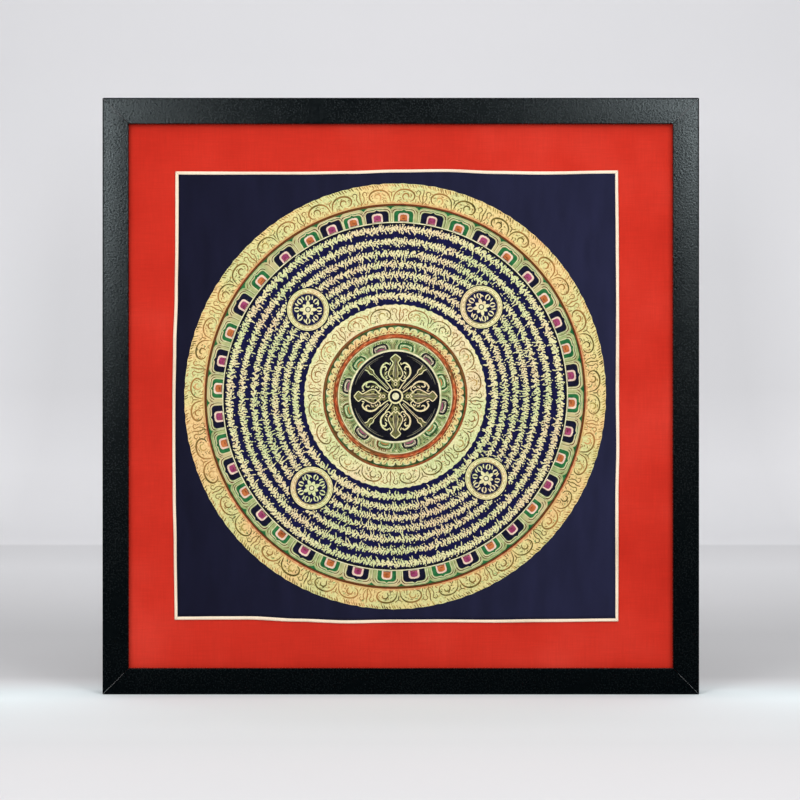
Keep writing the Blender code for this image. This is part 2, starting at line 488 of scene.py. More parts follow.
# closed sheet over a grid, its faces turned outwards
def makeSheet(name, steps, pointAt, depth, thickness, material):
    side = steps + 1
    points = []
    for layerDepth in (depth, depth + thickness):
        for row in range(side):
            for column in range(side):
                x, z = pointAt(2 * column / steps - 1, 2 * row / steps - 1)
                points.append((x, frontY + layerDepth - clothLift(x, z), midZ + z))
    faces = []
    for row in range(steps):
        for column in range(steps):
            corner = row * side + column
            square = (corner, corner + 1, corner + side + 1, corner + side)
            faces.append(square)
            faces.append(tuple(side * side + index for index in reversed(square)))
    rim = list(range(steps))
    rim += [row * side + steps for row in range(steps)]
    rim += [steps * side + column for column in range(steps, 0, -1)]
    rim += [row * side for row in range(steps, 0, -1)]
    for here, following in zip(rim, rim[1:] + rim[:1]):
        faces.append((following, here, side * side + here, side * side + following))
    return addPiece(name, points, faces, material)


mountCloth = {
    "steps": 110,
    "depth": 0.0053,
    "thickness": 0.0012,
    "halfSize": halfSight + 0.005,
}
canvas = {
    "steps": 110,
    "depth": 0.0038,
    "thickness": 0.0012,
    "inset": 0.0028,
}


def makeMountCloth():
    half = mountCloth["halfSize"]

    def pointAt(across, up):
        return across * half, up * half

    material = makeClothMaterial("redCloth", redCloth)
    piece = makeSheet("mountCloth", mountCloth["steps"], pointAt,
                      mountCloth["depth"], mountCloth["thickness"], material)
    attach(piece, "root")
    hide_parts("mount_cloth_red")
    return piece


def makeCanvas():
    def pointAt(across, up):
        return panelPoint(across, up, canvas["inset"])

    piece = makeSheet("paintedCanvas", canvas["steps"], pointAt,
                      canvas["depth"], canvas["thickness"], makeNavyMaterial())
    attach(piece, "root")
    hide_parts("painted_canvas")
    return piece


# folded cream strip round the canvas, a little uneven in width
edging = {
    "steps": 120,
    "depth": 0.0034,
    "backDepth": 0.005,
    "width": 0.00305,
    "uneven": 0.0003,
    "cornerGap": 0.0001,
    # share of the width, share of the thickness
    "section": [(0.0, 0.0), (0.0, 0.45), (0.08, 0.8), (0.3, 1.0),
                (0.7, 1.0), (0.92, 0.8), (1.0, 0.45), (1.0, 0.0)],
}


def makeEdging(side, order, material):
    thickness = edging["backDepth"] - edging["depth"]
    points = []
    for step in range(edging["steps"] + 1):
        along = 2 * step / edging["steps"] - 1
        width = edging["width"] + edging["uneven"] * (
            0.6 * math.sin(2.3 * along + 1.7 * order) + 0.4 * math.sin(9.0 * along + order))
        for widthShare, thickShare in edging["section"]:
            inset = width * widthShare
            if side in ("left", "right"):
                x, z = panelPoint(-1.0 if side == "left" else 1.0, along, inset)
                z -= along * edging["cornerGap"]
            else:
                x, z = panelPoint(along, -1.0 if side == "bottom" else 1.0, inset)
                x -= along * edging["cornerGap"]
            depth = edging["backDepth"] - thickness * thickShare
            points.append((x, frontY + depth - clothLift(x, z), midZ + z))
    count = len(edging["section"])
    faces = []
    for step in range(edging["steps"]):
        for index in range(count):
            following = (index + 1) % count
            here, there = step * count, (step + 1) * count
            faces.append((here + index, there + index, there + following, here + following))
    faces.append(tuple(range(count)))
    faces.append(tuple(edging["steps"] * count + index for index in reversed(range(count))))
    if side in ("right", "bottom"):
        faces = [tuple(reversed(face)) for face in faces]
    piece = addPiece("edging" + side.capitalize(), points, faces, material)
    piece.data.set_sharp_from_angle(angle=math.radians(60))
    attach(piece, "root")
    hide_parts("edging_" + side)
    return piece


def makeEdgings():
    material = makeClothMaterial("creamCloth", creamCloth)
    sides = ("left", "right", "bottom", "top")
    return [makeEdging(side, order, material) for order, side in enumerate(sides)]


# wooden moulding: as in the solids, with finer rounds and eased mitres, in metres
moulding = {
    "outerRound": 0.0014,
    "roundSteps": 12,
    "crown": 0.0001,
    "crownSteps": 8,
    "innerBevel": 0.0006,
    "edgeLine": 0.0002,
    "bevelSteps": 8,
    "lip": 0.005,
    "overlap": 0.006,
    "backBevel": 0.0008,
    "mitreGap": 0.00008,
    "mitreEase": 0.00035,
}


def mouldingProfile():
    look = moulding
    profile = []
    for step in range(look["roundSteps"] + 1):
        angle = math.pi / 2 * step / look["roundSteps"]
        depth = look["crown"] + look["outerRound"] * (1 - math.sin(angle))
        profile.append((look["outerRound"] * (1 - math.cos(angle)), depth))
    faceEnd = faceWidth - look["innerBevel"]
    profile.append((look["outerRound"] + look["edgeLine"], look["crown"]))
    for step in range(1, look["crownSteps"]):
        share = step / look["crownSteps"]
        inward = look["outerRound"] + (faceEnd - look["outerRound"]) * share
        profile.append((inward, look["crown"] * (1 - math.sin(math.pi * share))))
    profile.append((faceEnd - look["edgeLine"], look["crown"]))
    for step in range(look["bevelSteps"] + 1):
        angle = math.pi / 2 * step / look["bevelSteps"]
        depth = look["crown"] + look["innerBevel"] * (1 - math.cos(angle))
        profile.append((faceEnd + look["innerBevel"] * math.sin(angle), depth))
    wall = faceWidth - look["overlap"]
    profile += [
        (faceWidth, look["lip"]), (wall, look["lip"]), (wall, frameDepth - look["backBevel"]),
        (wall - look["backBevel"], frameDepth), (look["backBevel"], frameDepth),
        (0.0, frameDepth - look["backBevel"]),
    ]
    return profile


def makeRail(name, node, quarterTurns, material):
    profile = mouldingProfile()
    middle = (faceWidth / 2, moulding["lip"])
    ease = moulding["mitreEase"]
    sections = []
    for side, fromEnd in ((-1, 0.0), (-1, ease), (1, ease), (1, 0.0)):
        ring = []
        for inward, depth in profile:
            if fromEnd == 0.0:
                away = math.hypot(inward - middle[0], depth - middle[1])
                inward += (middle[0] - inward) / away * ease
                depth += (middle[1] - depth) / away * ease
            along = side * (halfFrame - inward - moulding["mitreGap"] - fromEnd)
            ring.append((along, depth, inward))
        sections.append(ring)
    turn = quarterTurns * math.pi / 2
    points = []
    for ring in sections:
        for along, depth, inward in ring:
            out = inward - halfFrame
            x = along * math.cos(turn) - out * math.sin(turn)
            z = along * math.sin(turn) + out * math.cos(turn)
            points.append((x, frontY + depth, midZ + z))
    count = len(profile)
    faces = []
    for section in range(len(sections) - 1):
        here, there = section * count, (section + 1) * count
        for index in range(count):
            following = (index + 1) % count
            faces.append((here + following, there + following, there + index, here + index))
    faces.append(tuple(range(count)))
    faces.append(tuple(3 * count + index for index in reversed(range(count))))
    piece = addPiece(name, points, faces, material)
    piece.data.set_sharp_from_angle(angle=math.radians(14))
    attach(piece, "root")
    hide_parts(node)


def makeFrame():
    material = makeLacquerMaterial()
    rails = (("railBottom", "rail_bottom"), ("stileRight", "stile_right"),
             ("railTop", "rail_top"), ("stileLeft", "stile_left"))
    for quarterTurns, (name, node) in enumerate(rails):
        makeRail(name, node, quarterTurns, material)
    boardMaterial = makeBoardMaterial()
    for boardSlot in bpy.data.objects["backing_board"].material_slots:
        boardSlot.material = boardMaterial


# the painting: places and sizes in mm from the mandala's centre, up and to the right
mandala = {"shiftX": -0.0052, "shiftZ": -0.0002, "tall": 0.005, "lean": 0.0045}

layers = {}
strokeTop = 0.72    # how much of a brush line's width is left on its top
paintFoot = -0.03    # how far paint goes into its ground, in mm


def layer(name):
    return layers.setdefault(name, {"points": [], "faces": []})


def paintPoint(x, z, rise):
    # the circle is drawn by hand, a little taller than wide
    angle = 2 * math.atan2(z, x)
    stretch = (1 - mandala["tall"] * math.cos(angle) + mandala["lean"] * math.sin(angle)) * mm
    placeX = mandala["shiftX"] + x * stretch
    placeZ = mandala["shiftZ"] + z * stretch
    y = frontY + canvas["depth"] - clothLift(placeX, placeZ) - rise * mm
    return placeX, y, midZ + placeZ


# raised brush line, a little narrower on top: width in mm, one value or one for each point
def stroke(name, path, width, rise, under=paintFoot):
    paint = layer(name)
    points, faces = paint["points"], paint["faces"]
    start = len(points)
    last = len(path) - 1
    for index, (x, z) in enumerate(path):
        before = path[max(index - 1, 0)]
        after = path[min(index + 1, last)]
        alongX, alongZ = after[0] - before[0], after[1] - before[1]
        length = math.hypot(alongX, alongZ) or 1.0
        half = (width[index] if isinstance(width, list) else width) / 2
        sideX, sideZ = -alongZ / length * half, alongX / length * half
        for share, height in ((1.0, under), (strokeTop, rise), (-strokeTop, rise), (-1.0, under)):
            points.append(paintPoint(x + share * sideX, z + share * sideZ, height))
    for index in range(last):
        here, there = start + index * 4, start + index * 4 + 4
        for corner in range(4):
            following = (corner + 1) % 4
            faces.append((here + corner, there + corner, there + following, here + following))
    faces.append((start, start + 1, start + 2, start + 3))
    end = start + last * 4
    faces.append((end + 3, end + 2, end + 1, end))


# filled shape round its middle
def blob(name, outline, rise, crown=0.0, under=paintFoot):
    paint = layer(name)
    points, faces = paint["points"], paint["faces"]
    start = len(points)
    count = len(outline)
    midX = sum(x for x, z in outline) / count
    midZed = sum(z for x, z in outline) / count
    turning = sum(a[0] * b[1] - b[0] * a[1] for a, b in zip(outline, outline[1:] + outline[:1]))
    if turning < 0:
        outline = outline[::-1]
    for x, z in outline:
        points.append(paintPoint(x, z, rise))
    for x, z in outline:
        points.append(paintPoint(x, z, under))
    points.append(paintPoint(midX, midZed, rise + crown))
    points.append(paintPoint(midX, midZed, under))
    top, bottom = start + 2 * count, start + 2 * count + 1
    for index in range(count):
        following = (index + 1) % count
        faces.append((start + index, start + following, top))
        faces.append((start + count + following, start + count + index, bottom))
        faces.append((start + following, start + index, start + count + index, start + count + following))


# flat ring; edge is a wobble added to the outer radius at an angle
def band(name, inner, outer, rise, steps=720, rows=3, edge=None):
    paint = layer(name)
    points, faces = paint["points"], paint["faces"]
    start = len(points)
    for step in range(steps):
        angle = fullTurn * step / steps
        reach = outer + (edge(angle) if edge else 0.0)
        for row in range(rows + 1):
            radius = inner + (reach - inner) * row / rows
            x, z = radius * math.cos(angle), radius * math.sin(angle)
            points.append(paintPoint(x, z, rise))
        points.append(paintPoint(reach * math.cos(angle), reach * math.sin(angle), paintFoot))
        points.append(paintPoint(inner * math.cos(angle), inner * math.sin(angle), paintFoot))
    count = rows + 3
    for step in range(steps):
        here = start + step * count
        there = start + (step + 1) % steps * count
        for row in range(count):
            following = (row + 1) % count
            faces.append((here + row, here + following, there + following, there + row))


def paintBands(bands, steps):
    for name, inner, outer, rise in bands:
        band(name, inner, outer, rise, steps, 1)


def disc(name, centre, radius, rise, crown=0.0, steps=24, under=paintFoot):
    outline = []
    for step in range(steps):
        angle = fullTurn * step / steps
        outline.append((centre[0] + radius * math.cos(angle), centre[1] + radius * math.sin(angle)))
    blob(name, outline, rise, crown, under)


# bends a flat motif round a ring: along runs clockwise, out away from the centre
def ringPlacer(radius, angle):
    def place(along, out):
        turned = angle - along / radius
        return (radius + out) * math.cos(turned), (radius + out) * math.sin(turned)
    return place


# sets a flat motif down anywhere, turned by an angle
def freePlacer(centreX, centreZ, turn):
    def place(along, out):
        x = centreX + along * math.cos(turn) - out * math.sin(turn)
        z = centreZ + along * math.sin(turn) + out * math.cos(turn)
        return x, z
    return place


def placed(place, path):
    return [place(along, out) for along, out in path]


# smooth line through a few given points
def smooth(points, steps=3):
    path = []
    last = len(points) - 1
    for index in range(last):
        before, here = points[max(index - 1, 0)], points[index]
        following, beyond = points[index + 1], points[min(index + 2, last)]
        for step in range(steps):
            t = step / steps
            spot = []
            for a, b, c, d in zip(before, here, following, beyond):
                bend = 2 * a - 5 * b + 4 * c - d + t * (3 * b - a - 3 * c + d)
                spot.append(b + t * (c - a + t * bend) / 2)
            path.append(tuple(spot))
    path.append(points[last])
    return path


# part of a circle, from one angle to another
def arcPath(radius, fromAngle, toAngle, steps, centre=(0.0, 0.0)):
    path = []
    for step in range(steps + 1):
        angle = fromAngle + (toAngle - fromAngle) * step / steps
        path.append((centre[0] + radius * math.cos(angle), centre[1] + radius * math.sin(angle)))
    return path


# brush pressure along a line: thin ends, full middle
def taper(count, widest, start=0.35, end=0.25):
    widths = []
    for index in range(count):
        share = index / (count - 1)
        swell = math.sin(math.pi * share) ** 0.7 if 0 < share < 1 else 0.0
        edgeWidth = start + (end - start) * share
        widths.append(widest * (edgeWidth + (1 - edgeWidth) * swell))
    return widths


# tapered brush line: start and end are the shares of its width left at its ends
def brush(name, place, path, width, rise, start=0.35, end=0.25, under=paintFoot):
    stroke(name, placed(place, path), taper(len(path), width, start, end), rise, under)


# comma-shaped leaf from a root point, heading by angle and curling
def leafPath(root, heading, length, curl, steps=4):
    path = [root]
    x, z = root
    for step in range(steps):
        direction = heading + curl * (step + 0.5) / steps
        x += math.cos(direction) * length / steps
        z += math.sin(direction) * length / steps
        path.append((x, z))
    return path


def leaf(name, place, root, heading, length, curl, width, rise):
    path = leafPath(root, heading, length, curl)
    brush(name, place, path, width, rise)


# gold rings: panels of paired scrolls between dividers
outerRing = {
    "inner": 176.5, "outer": 194.7, "ticks": 520, "slant": 0.0045,
    "panels": 20, "turnOffset": 1.0, "scrollMiddle": 183.9, "edgeLine": 190.7, "lineShare": 1.0,
}
innerRing = {
    "inner": 66.6, "outer": 84.0,
    "panels": 8, "turnOffset": 19.3, "scrollMiddle": 75.1, "lineShare": 0.84,
}
scroll = {
    # right half of a panel, in mm along and out; the left half mirrors it
    "arch": [(1.2, -4.8), (2.6, 0.6), (6.5, 4.3), (12.0, 5.4), (17.5, 4.1), (20.6, 0.4), (19.4, -3.6),
             (16.4, -5.0)],
    "curl": [(11.2, -4.2), (9.9, -1.0), (11.8, 1.6), (14.9, 1.0), (15.4, -1.5)],
    "hook": [(28.4, -5.8), (26.3, -3.2), (25.4, 0.4), (26.5, 3.4), (24.2, 5.2), (22.4, 3.4), (23.6, 1.7)],
    # leaves: place, heading and length
    "leaves": [(5.0, -6.2, 1.1, 3.4), (8.2, -6.4, 1.9, 2.6), (22.8, -6.2, 1.9, 3.6), (25.0, -6.4, 1.2, 2.2),
               (5.6, 0.2, 0.5, 2.6), (6.6, -2.4, 0.1, 2.4), (17.6, 1.6, -1.2, 2.6), (13.0, 3.4, 3.3, 2.8)],
    "lightLeaves": [(3.4, 3.6, 2.0), (8.6, 5.6, 1.9), (15.4, 5.4, 1.2), (20.6, 3.2, 0.8)],
    "dots": [(9.0, 1.6), (8.0, -3.6), (17.6, -1.6), (23.0, 0.0)],
    "archWidth": 1.75,
    "curlWidth": 1.6,
    "hookWidth": 1.0,
    "leafWidth": 0.95,
    "rise": 0.2,
    "hatch": 44,
    "dabs": 9,
}


def scrollPanel(ring, middleAngle, rng):
    place = ringPlacer(ring["scrollMiddle"], middleAngle)
    half = math.pi * ring["scrollMiddle"] / ring["panels"]
    name, rise = "scrollLines", scroll["rise"]
    for side in (-1, 1):
        grow = rng.uniform(0.95, 1.04)
        lift = rng.uniform(-0.35, 0.35)

        def at(along, out):
            return place(side * along * half / 29.0, out)

        arch = smooth([(along * grow, out * grow + lift) for along, out in scroll["arch"]])
        archWidth = scroll["archWidth"] * ring["lineShare"] * rng.uniform(0.8, 1.15)
        brush(name, at, arch, archWidth, rise, 0.4, 0.3)
        curl = smooth([(along * grow, out * grow + lift) for along, out in scroll["curl"]])
        curlName = "scrollLight" if rng.random() < 0.35 else name
        curlWidth = scroll["curlWidth"] * ring["lineShare"]
        brush(curlName, at, curl, curlWidth, rise, 0.3, 0.3)
        hook = smooth([(along, out + lift) for along, out in scroll["hook"]])
        brush(name, at, hook, scroll["hookWidth"], rise, 0.6, 0.4)
        width = scroll["leafWidth"]
        for along, out, heading, length in scroll["leaves"]:
            heading += rng.uniform(-0.25, 0.25)
            bend = rng.uniform(-1.0, 1.0)
            leaf(name, at, (along, out + lift), heading, length, bend, width, rise - 0.01)
        for along, out, heading in scroll["lightLeaves"]:
            leaf("scrollLight", at, (along, out), heading, 2.0, rng.uniform(-0.8, 0.8), width, rise - 0.02)
        for along, out in scroll["dots"]:
            spot = at(along + rng.uniform(-0.6, 0.6), out + rng.uniform(-0.5, 0.5))
            disc(name, spot, 0.5, rise - 0.04, 0.03, 6)
    leaf(name, place, (0.0, -1.2), math.pi / 2, 4.6, 0.0, 1.3, rise)
    for side in (-1, 1):
        leaf(name, place, (side * 0.4, 2.6), math.pi / 2 - side * 0.7, 2.9, -side * 0.9, 1.0, rise)
        lowHeading = math.pi / 2 - side * 0.4
        leaf("scrollLight", place, (side * 0.6, -6.6), lowHeading, 2.4, side * 0.6, 0.8, rise - 0.02)
    edge = ringPlacer(ring["scrollMiddle"], middleAngle + math.pi / ring["panels"])
    divider = smooth([(0.0, -7.2), (0.4, -3.6), (-0.3, 0.0), (0.3, 3.6), (0.0, 6.6)])
    brush(name, edge, divider, 1.15, rise + 0.01, 0.7, 0.7)
    for mark in range(scroll["dabs"]):
        root = (rng.uniform(-half, half), rng.uniform(-5.8, 5.4))
        dab = "apricot" if mark % 3 else "sageGreen"
        heading = rng.uniform(-0.9, 0.9)
        leaf(dab, place, root, heading, rng.uniform(1.6, 3.4), rng.uniform(-0.8, 0.8), 0.9, 0.13)
    for mark in range(scroll["hatch"]):
        root = (rng.uniform(-half, half), rng.uniform(-6.8, 6.4))
        length = rng.uniform(1.0, 2.6)
        leaf("scrollLight", place, root, rng.uniform(0, fullTurn), length, rng.uniform(-1.6, 1.6), 0.62, 0.15)


def paintPanels(ring, rng):
    for index in range(ring["panels"]):
        scrollPanel(ring, math.radians(ring["turnOffset"]) + fullTurn * index / ring["panels"], rng)


def paintOuterRing():
    ring = outerRing
    rng = random.Random(11)

    def looseEdge(angle):
        return 0.16 * math.sin(83 * angle) + 0.14 * math.sin(131 * angle + 2.0)

    band("goldRings", ring["inner"], ring["outer"], 0.07, 1440, 3, looseEdge)
    for tick in range(ring["ticks"]):
        if rng.random() < 0.15:
            continue
        angle = fullTurn * (tick + rng.uniform(0.3, 0.7)) / ring["ticks"]
        reach = ring["outer"] - rng.uniform(0.2, 0.7)
        start = ring["edgeLine"] + rng.uniform(-0.4, 2.2)
        path = []
        for part in range(3):
            radius = start + (reach - start) * part / 2
            turn = angle + ring["slant"] * part
            path.append((radius * math.cos(turn), radius * math.sin(turn)))
        name = "scrollLines" if rng.random() < 0.6 else "scrollLight"
        stroke(name, path, taper(3, rng.uniform(0.9, 1.45), 0.5, 1.0), 0.14)
    paintPanels(ring, rng)


def paintInnerRing():
    ring = innerRing
    rng = random.Random(12)

    def raggedEdge(angle):
        return 0.3 * math.sin(61 * angle) + 0.25 * math.sin(97 * angle + 1.0)

    band("leafGold", ring["inner"], ring["outer"], 0.07, 720, 3, raggedEdge)
    paintPanels(ring, rng)


# lotus petals round the vine rows; places in mm from the foot line
petalRing = {
    "petals": 40, "turnOffset": 6.4, "foot": 159.6, "outer": 174.2,
    "navyHalf": 10.5, "greenHalf": 8.8, "height": 11.3,
    # one stretch is painted tighter, in degrees
    "tightAngle": 124.0, "tightSpread": 17.0, "tightShift": -3.1,
    "looseAngle": 115.0, "looseSpread": 50.0, "looseShift": -1.6,
    # a slow drift round the ring and four gentle bunches, in degrees
    "sway": 0.5, "bunching": 0.45,
    "dashes": 180, "dashRadius": 177.7,
    # thin lines beside the ring: paint, inner and outer radius, rise
    "lines": [("apricot", 176.0, 177.3, 0.15), ("oxide", 174.9, 176.2, 0.16),
              ("deepGreen", 173.9, 175.0, 0.15), ("creamLines", 158.8, 159.6, 0.17),
              ("inkBlack", 156.9, 158.9, 0.11)],
}


# upright petal from its foot: straight sides, rounded shoulders, a small point
def petalOutline(half, height, point, footLift=0.0):
    shoulder = min(height * 0.32, half * 0.6)
    outline = [(-half, footLift)]
    for step in range(5):
        angle = math.pi - math.pi / 2 * step / 4
        along = -half + shoulder + shoulder * math.cos(angle)
        outline.append((along, height - shoulder + shoulder * math.sin(angle)))
    outline += [(-half * 0.2, height), (0.0, height + point)]
    return outline + [(-along, out) for along, out in reversed(outline[:-1])]


def petalAngle(index):
    ring = petalRing
    degrees = ring["turnOffset"] + 360 * index / ring["petals"]
    tight = (degrees - ring["tightAngle"]) / ring["tightSpread"]
    loose = (degrees - ring["looseAngle"]) / ring["looseSpread"]
    shift = ring["tightShift"] * math.exp(-tight * tight) + ring["looseShift"] * math.exp(-loose * loose)
    angle = math.radians(degrees)
    shift += ring["sway"] * math.sin(angle) + ring["bunching"] * math.cos(4 * angle)
    return math.radians(degrees + shift)


def paintPetal(index, rng):
    ring = petalRing
    angle = petalAngle(index)
    place = ringPlacer(ring["foot"], angle + math.radians(rng.uniform(-0.25, 0.25)))
    isNavy = index % 2 == 0
    half = (ring["navyHalf"] if isNavy else ring["greenHalf"]) * rng.uniform(0.96, 1.03)
    height = ring["height"] * rng.uniform(0.95, 1.02) * (1.0 if isNavy else 0.94)
    fill = petalOutline(half - 0.5, height - 0.6, 1.3, 0.3)
    blob("midnight" if isNavy else "leafGreen", placed(place, fill), 0.12)
    stroke("creamLines", placed(place, petalOutline(half + 0.1, height + 0.1, 1.2)), 0.5, 0.2)
    stroke("umber", placed(place, petalOutline(half + 0.8, height + 0.9, 0.9)[1:-1]), 0.8, 0.16)
    arch = petalOutline(half + 1.5, height + 1.7, 0.7)[1:-1]
    stroke("creamLines", placed(place, arch), 0.4, 0.2)
    crown = [(-6.0, height + 1.0), (-2.5, height + 1.35), (2.5, height + 1.35), (6.0, height + 1.0)]
    brush("sageGreen", place, crown, 1.1, 0.17, 0.4, 0.4)
    rim = petalOutline(4.8 * rng.uniform(0.94, 1.04), 8.2, 0.3, 0.4)
    blob("blush", placed(place, rim), 0.16, 0.02)
    heart = petalOutline(3.3, 6.7, 0.3, 1.5)
    blob("magenta" if isNavy else "orange", placed(place, heart), 0.2, 0.05)
    stroke("umber", placed(place, [(-3.4, 1.2), (0.0, 1.0), (3.4, 1.2)]), 0.9, 0.25)
    brush("umber", place, [(-1.7, 3.4), (0.0, 3.1), (1.7, 3.4)], 0.9, 0.25)
    # between this petal and the next
    middle = (angle + petalAngle(index + 1)) / 2
    if index == ring["petals"] - 1:
        middle = (angle + petalAngle(0) + fullTurn) / 2
    between = ringPlacer(ring["foot"], middle)
    stroke("olive", placed(between, [(-0.4, 0.8), (-0.2, 4.5), (-0.7, 8.6)]), 0.6, 0.15)
    stroke("creamLines", placed(between, [(0.5, 0.8), (0.4, 4.5), (0.3, 9.4)]), 0.5, 0.17)
    for side in (-1, 1):
        path = [(side * 0.4, 8.2), (side * 1.5, 10.4), (side * 3.4, 11.8)]
        brush("umber", between, path, 1.0, 0.18, 0.4, 0.3)
    spandrel = [(-4.0, 14.4), (-1.6, 13.3), (0.0, 11.6), (1.6, 13.3), (4.0, 14.4)]
    blob("leafGreen", placed(between, spandrel), 0.14)


def paintPetalRing():
    ring = petalRing
    rng = random.Random(13)
    band("paleGreen", ring["foot"] - 0.8, ring["outer"], 0.07, 720, 2)
    for index in range(ring["petals"]):
        paintPetal(index, rng)
    radius = ring["dashRadius"]
    for step in range(ring["dashes"]):
        path = []
        for part in range(4):
            angle = fullTurn * (step + part / 3 * rng.uniform(0.5, 0.9)) / ring["dashes"]
            path.append((radius * math.cos(angle), radius * math.sin(angle)))
        stroke("apricot", path, rng.uniform(0.9, 1.6), 0.14)
    paintBands(ring["lines"], 720)


# seven rows of a running vine
vineRows = {
    "radii": [92.2, 101.8, 111.5, 121.2, 130.9, 141.7, 153.2],
    "fullness": [1.18, 0.98, 0.96, 0.94, 0.98, 1.02, 1.12],
    "pieceEnds": [3, 5, 7],    # rows in each piece of paint
    "wave": 6.5,
    "swing": 0.7,
    "leaves": 3,
    "reach": 3.4,
    "berries": 0.3,
    "hanging": 0.42,
    "knots": 2,
    "stemWidth": 1.3,
    "leafWidth": 1.72,
    "berryWidth": 1.05,
    "tendrilWidth": 1.05,
    "rise": 0.21,
    "inner": 83.6, "outer": 157.4,    # the dark blue behind the rows
}
medallions = {
    "radius": 19.4,
    "wreath": 4.7,
    "rim": 0.9,
    "beads": 24,
    "petals": 8,
    "longPetal": 7.4,
    "shortPetal": 5.6,
    "centres": [(-80.5, 80.1), (78.9, 81.7), (-76.4, -84.0), (84.1, -75.9)],
}


def insideMedallion(spot, margin):
    return any(math.hypot(spot[0] - x, spot[1] - z) < medallions["radius"] + margin
               for x, z in medallions["centres"])


# one wave of the stem, with pointed leaves leaning forward on both sides
def vineWave(name, radius, angle, length, full, rng):
    look = vineRows
    place = ringPlacer(radius + rng.uniform(-0.3, 0.3), angle)
    swing = look["swing"] * rng.uniform(0.6, 1.3)

    def stem(share):
        return share * length, swing * math.sin(fullTurn * share)

    def mark(path, width, tip=0.5):
        spots = placed(place, path)
        if not insideMedallion(spots[0], 0.3) and not insideMedallion(spots[-1], 0.3):
            rise = look["rise"] * rng.uniform(0.9, 1.05)
            stroke(name, spots, taper(len(spots), width * full, 0.6, tip), rise)

    for start in (0.0, 0.5):
        if rng.random() < 0.93:
            path = [stem(start + step / 8) for step in range(5)]
            mark(path, look["stemWidth"] * rng.uniform(0.8, 1.2))
    for side in (-1, 1):
        for step in range(look["leaves"]):
            share = (step + 0.25 + 0.25 * side + rng.uniform(-0.15, 0.15)) / look["leaves"]
            root = stem(share)
            heading = side * rng.uniform(0.7, 1.3)
            reach = (look["reach"] - side * root[1]) * rng.uniform(0.85, 1.12)
            leafLine = leafPath(root, heading, reach, side * rng.uniform(-0.6, 1.2))
            mark(leafLine, look["leafWidth"] * rng.uniform(0.85, 1.15), 0.25)
            if rng.random() < look["berries"]:
                berry = (root[0] + rng.uniform(-0.3, 0.9), side * rng.uniform(3.0, 3.9))
                mark(leafPath(berry, rng.uniform(0, fullTurn), 1.2, 0.0, 3), look["berryWidth"], 0.6)
    # dark knots between the leaves
    for knot in range(look["knots"]):
        root = stem(rng.random())
        spot = place(root[0], root[1] + rng.uniform(-1.6, 1.6))
        if not insideMedallion(spot, 0.3):
            disc("vineKnots", spot, rng.uniform(0.4, 0.7), look["rise"] + 0.08, 0.03, 6)
    for tendril in range(2):
        if rng.random() < look["hanging"]:
            root = (length * rng.random(), -2.4)
            heading = -math.pi / 2 + rng.uniform(-0.5, 0.5)
            line = leafPath(root, heading, rng.uniform(1.8, 4.6), rng.uniform(-0.8, 0.8))
            mark(line, look["tendrilWidth"])


def paintVineRows():
    look = vineRows
    rng = random.Random(14)
    band("innerBlue", look["inner"], look["outer"], 0.06, 720, 12)
    for row, radius in enumerate(look["radii"]):
        order = sum(row >= end for end in look["pieceEnds"])
        name = ("vineInner", "vineMiddle", "vineOuter")[order]
        waves = round(fullTurn * radius / look["wave"])
        for wave in range(waves):
            vineWave(name, radius, fullTurn * (wave + 0.37 * row) / waves, fullTurn * radius / waves,
                     look["fullness"][row], rng)


def paintMedallions():
    look = medallions
    radius = look["radius"]
    well = radius - look["wreath"]
    rng = random.Random(16)
    for order, centre in enumerate(look["centres"]):
        disc("inkBlack", centre, radius + look["rim"], 0.24, 0.0, 48)
        disc("leafGold", centre, radius, 0.28, 0.0, 48)
        disc("innerBlue", centre, well, 0.32, 0.0, 40)
        circles = ((radius - 1.0, 0.4, "scrollLight"), (well + 0.5, 0.7, "scrollLines"))
        for ringRadius, width, name in circles:
            stroke(name, arcPath(ringRadius, 0.0, fullTurn, 48, centre), width, 0.34, 0.2)
        for bead in range(look["beads"]):
            place = freePlacer(*centre, fullTurn * bead / look["beads"])
            path = leafPath((-1.0, radius - 3.0), 0.6, 2.4, -1.2, 3)
            stroke("scrollLight", placed(place, path), 0.7, 0.35, 0.2)
        for petal in range(look["petals"]):
            place = freePlacer(*centre, fullTurn * petal / look["petals"] + 0.2 * order)
            reach = look["longPetal"] if petal % 2 == 0 else look["shortPetal"]
            path = leafPath((0.0, 0.9), math.pi / 2, reach, 0.0, 5)
            brush("leafGold", place, path, 3.6, 0.41, 0.4, 0.15, 0.28)
            for side in (-1, 1):
                heading = math.pi / 2 - side * 0.9
                flame = leafPath((side * 0.6, 8.2), heading, rng.uniform(5.0, 6.4), side * 1.9, 5)
                brush("leafGold", place, flame, 1.6, 0.38, under=0.28)
            sprig = leafPath((3.8, 8.8), math.pi / 2 + rng.uniform(-0.5, 0.5), 4.0, rng.uniform(-1.2, 1.2), 4)
            brush("leafGold", place, sprig, 1.5, 0.37, under=0.28)
        disc("inkBlack", centre, 2.6, 0.42, 0.0, 14, 0.28)
        disc("creamLines", centre, 1.8, 0.45, 0.06, 12, 0.28)


